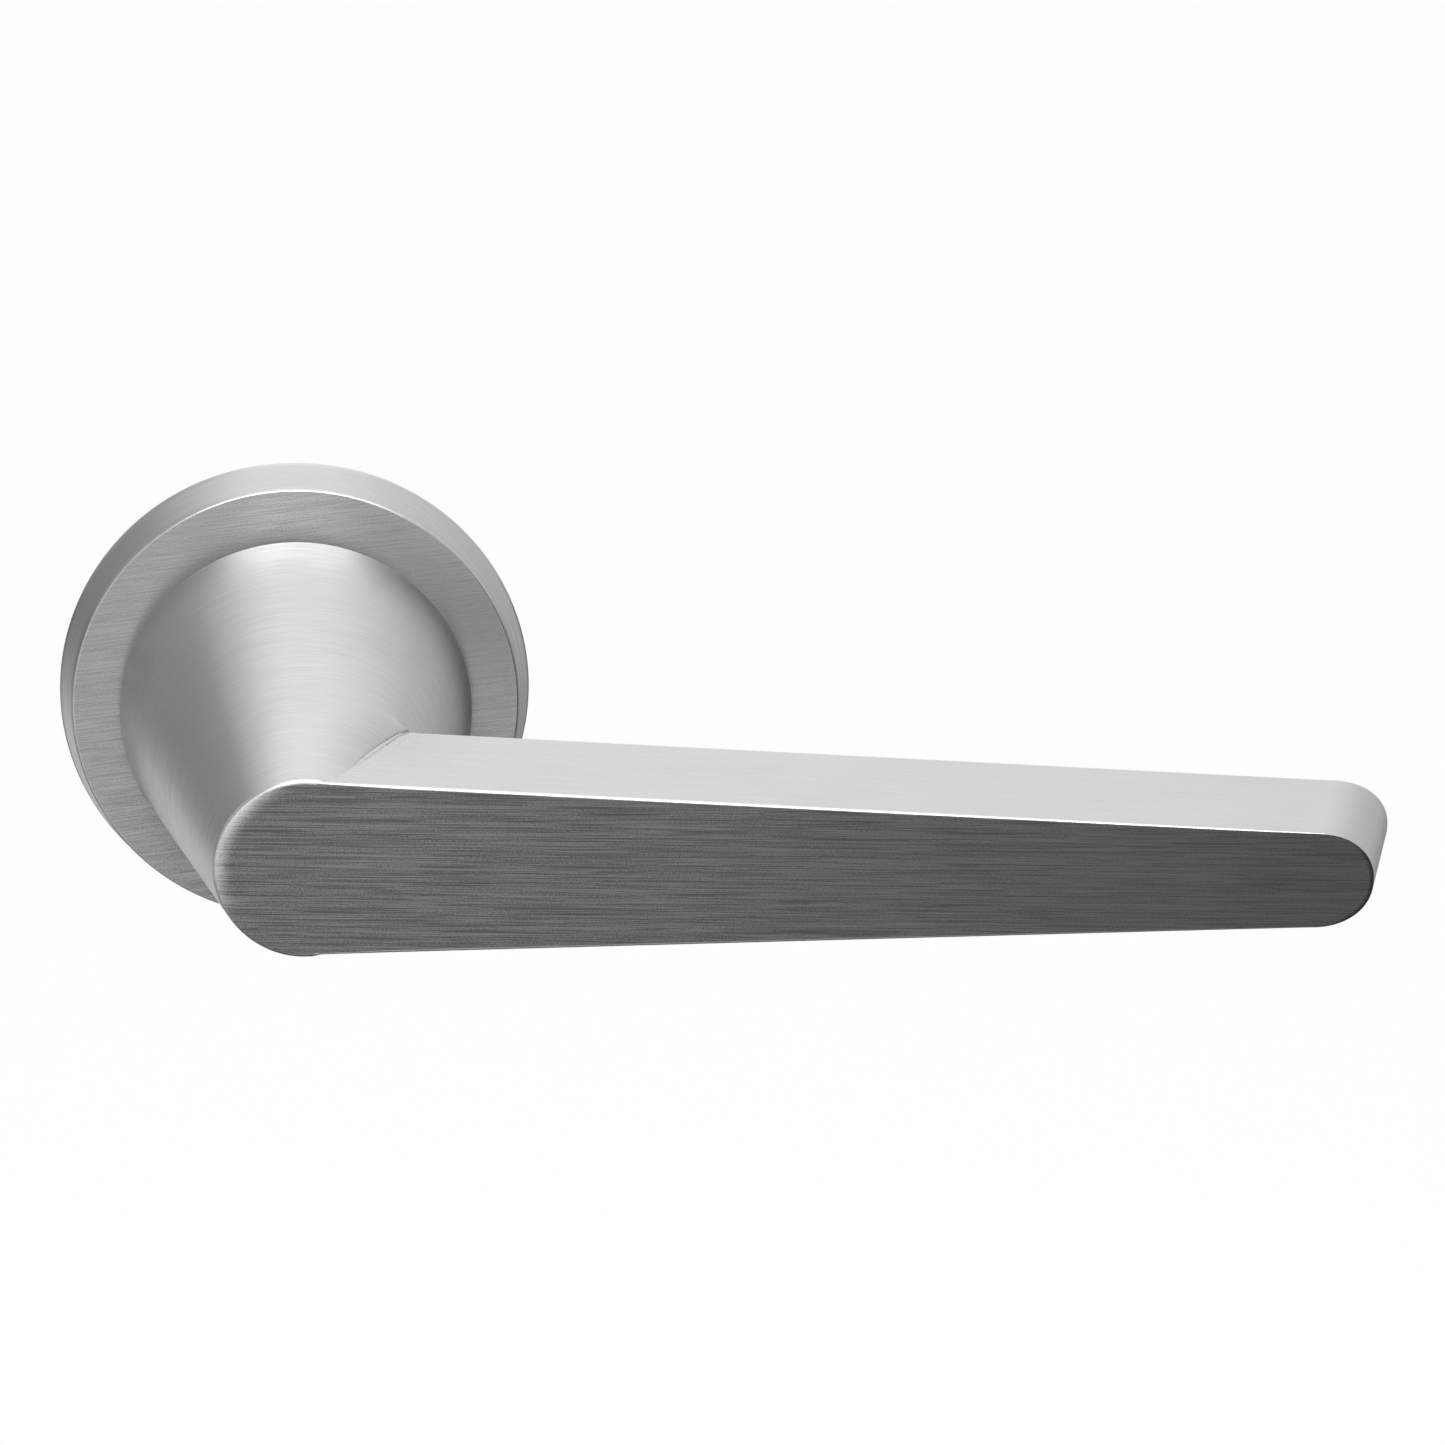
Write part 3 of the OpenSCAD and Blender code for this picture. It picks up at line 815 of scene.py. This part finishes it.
def paint_hardware():
    """The CAD nodes that stay as they are take their material from the record's slots."""
    materials = {
        name: plain_metal(name, tone, rough, metallic=metallic)
        for name, (tone, rough, metallic) in HARDWARE.items()
    }
    for part in frame["record"]["subparts"]:
        if part["material_slot"] in materials and part["node"] != "return_spring":
            paint(frame["nodes"][part["node"]], materials[part["material_slot"]])
    return materials


# ---------------------------------------------------------------- light and camera


def aim(obj, at, target):
    obj.location = at
    obj.rotation_euler = (Vector(target) - Vector(at)).to_track_quat("-Z", "Y").to_euler()


def softbox(name, at, target, size, power):
    light = bpy.data.lights.new(name, "AREA")
    light.shape, light.size, light.size_y, light.energy = "RECTANGLE", size[0], size[1], power
    obj = bpy.data.objects.new(name, light)
    bpy.context.scene.collection.objects.link(obj)
    obj.visible_camera = False
    aim(obj, at, target)


def make_stage():
    """A pale floor well below the handle, so that it carries no shadow in view."""
    mesh = bpy.data.meshes.new("floor")
    wide, level = 12.0, -1.2
    corners = [(-wide, -wide, level), (wide, -wide, level), (wide, wide, level), (-wide, wide, level)]
    mesh.from_pydata(corners, [], [(0, 1, 2, 3)])
    floor = bpy.data.objects.new("floor", mesh)
    bpy.context.scene.collection.objects.link(floor)
    material = Nodes("pale_floor")
    material.shader.inputs["Base Color"].default_value = (0.97, 0.97, 0.97, 1)
    material.shader.inputs["Roughness"].default_value = 0.9
    material.shader.inputs["Emission Color"].default_value = (1, 1, 1, 1)
    material.shader.inputs["Emission Strength"].default_value = 0.15
    floor.data.materials.append(material.material)
    floor.visible_glossy = False


SKY = (                                 # height looked at, from -1 to 1, and brightness there
    (-1.0, 0.12), (-0.55, 0.2), (-0.3, 0.45),
    (-0.14, 0.22), (-0.03, 0.3), (0.12, 0.85),
    (0.3, 1.05), (0.65, 1.1), (1.0, 1.4),
)
SKY_MOST = 2.5
# Brighter and darker patches: azimuth from +Y towards +X, elevation, inner and outer radius, all in
# degrees, and brightness.
PATCHES = (
    (32, -2, 6, 20, 0.7),
    (-12, -21, 8, 20, 1.0),
    (-33, 10, 5, 14, 0.28),
    (-31, -9, 4, 12, 0.38),
    (-3, 17, 4, 14, 1.2),
    (180, -58, 24, 42, 0.04),
    (100, -8, 18, 40, 0.08),
    (150, 2, 26, 46, 0.05),
    (-148, -14, 12, 28, 0.9),
)


class Sky:
    """Short calls for building the world's node tree."""

    def __init__(self, tree):
        self.nodes, self.links = tree.nodes, tree.links
        self.nodes.clear()

    def spread(self, value, low, high, out_low, out_high):
        node = self.nodes.new("ShaderNodeMapRange")
        node.interpolation_type = "SMOOTHSTEP"
        set_range(node, low, high, out_low, out_high)
        self.links.new(value, node.inputs["Value"])
        return node.outputs["Result"]

    def maths(self, operation, a, b):
        node = self.nodes.new("ShaderNodeMath")
        node.operation = operation
        for socket, value in zip(node.inputs, (a, b)):
            if isinstance(value, (int, float)):
                socket.default_value = value
            else:
                self.links.new(value, socket)
        return node.outputs[0]

    def ramp(self, up):
        """Brightness by height."""
        node = self.nodes.new("ShaderNodeValToRGB")
        elements = node.color_ramp.elements
        while len(elements) < len(SKY):
            elements.new(0.5)
        for element, (height, level) in zip(elements, SKY):
            element.position = (height + 1) / 2
            element.color = (level / SKY_MOST,) * 3 + (1,)
        height = self.nodes.new("ShaderNodeMapRange")
        height.inputs["From Min"].default_value = -1
        self.links.new(up, height.inputs["Value"])
        self.links.new(height.outputs["Result"], node.inputs[0])
        return self.maths("MULTIPLY", node.outputs[0], SKY_MOST)

    def patch(self, level, looking, azimuth, elevation, inner, outer, target):
        """The level with a round patch of another brightness blended over it."""
        azimuth, elevation, inner, outer = map(math.radians, (azimuth, elevation, inner, outer))
        near = self.nodes.new("ShaderNodeVectorMath")
        near.operation = "DOT_PRODUCT"
        self.links.new(looking, near.inputs[0])
        flat = math.cos(elevation)
        towards = (math.sin(azimuth) * flat, math.cos(azimuth) * flat, math.sin(elevation))
        near.inputs[1].default_value = towards
        weight = self.spread(near.outputs["Value"], math.cos(outer), math.cos(inner), 0, 1)
        change = self.maths("MULTIPLY", weight, self.maths("SUBTRACT", target, level))
        return self.maths("ADD", level, change)


def make_world():
    """Studio surroundings: bright above and behind, a dark band at the horizon, shaded to the left."""
    world = bpy.data.worlds.new("studio")
    bpy.context.scene.world = world
    world.use_nodes = True
    sky = Sky(world.node_tree)
    looking = sky.nodes.new("ShaderNodeTexCoord").outputs["Generated"]
    split = sky.nodes.new("ShaderNodeSeparateXYZ")
    sky.links.new(looking, split.inputs[0])
    across, depth, up = split.outputs
    above = sky.spread(up, -0.2, 0.05, 0, 1)
    left = sky.maths("MULTIPLY", above, sky.spread(across, -0.6, -0.15, 0.58, 0))
    shade = sky.maths("ADD", left, sky.spread(across, 0.1, 0.65, 0, 0.28))
    level = sky.maths("MULTIPLY", sky.ramp(up), sky.maths("SUBTRACT", 1, shade))
    below = sky.maths("MULTIPLY", sky.spread(up, -0.3, -0.16, 1, 0), sky.spread(up, -0.9, -0.5, 0, 1))
    middle = sky.spread(sky.maths("ABSOLUTE", across, 0), 0.12, 0.45, 0.4, 0)
    table = sky.maths("MULTIPLY", middle, sky.spread(depth, 0.6, 0.9, 0, 1))
    level = sky.maths("ADD", level, sky.maths("MULTIPLY", table, below))
    for patch in PATCHES:
        level = sky.patch(level, looking, *patch)
    background = sky.nodes.new("ShaderNodeBackground")
    sky.links.new(level, background.inputs["Color"])
    out = sky.nodes.new("ShaderNodeOutputWorld")
    sky.links.new(background.outputs[0], out.inputs[0])


def make_lights():
    softbox("key_light", (0.0, -0.55, 0.45), (0.03, -0.03, 0), (0.5, 0.4), 4.6)
    softbox("hand_light", (-0.07, -0.5, -0.2), (-0.02, -0.03, 0), (0.34, 0.4), 0.28)


CAMERA_AT = Vector((-19.1, -868.3, 261.6)) * MM
CAMERA_YAW, CAMERA_PITCH, CAMERA_ROLL = 0.0779, 0.2954, 0.0357
CAMERA_LENS = 199.3


def make_camera():
    data = bpy.data.cameras.new("camera")
    data.lens, data.sensor_width = CAMERA_LENS, 36.0
    data.clip_start, data.clip_end = 0.01, 50.0
    camera = bpy.data.objects.new("camera", data)
    bpy.context.scene.collection.objects.link(camera)
    forward = Vector((
        math.sin(CAMERA_YAW) * math.cos(CAMERA_PITCH),
        math.cos(CAMERA_YAW) * math.cos(CAMERA_PITCH),
        -math.sin(CAMERA_PITCH),
    ))
    right = forward.cross(Vector((0, 0, 1))).normalized()
    up = right.cross(forward)
    tilted_right = math.cos(CAMERA_ROLL) * right + math.sin(CAMERA_ROLL) * up
    tilted_up = math.cos(CAMERA_ROLL) * up - math.sin(CAMERA_ROLL) * right
    turn = Matrix((tilted_right, tilted_up, -forward)).transposed().to_4x4()
    camera.matrix_world = Matrix.Translation(CAMERA_AT) @ turn
    bpy.context.scene.camera = camera


# ---------------------------------------------------------------- build

bpy.context.scene.view_settings.view_transform = "Standard"
make_camera()
make_world()
make_lights()
make_stage()
grip_front, grip_side, neck_steel, rose_side, rose_face = make_materials()
# faces that look at the hand take the darker front steel: painted shade
paint_faces(make_grip(), grip_side, grip_front)
paint(make_neck(), neck_steel)
paint_faces(make_rose(), rose_side, rose_face)
spring = make_spring()
paint(spring, paint_hardware()["spring_steel"])
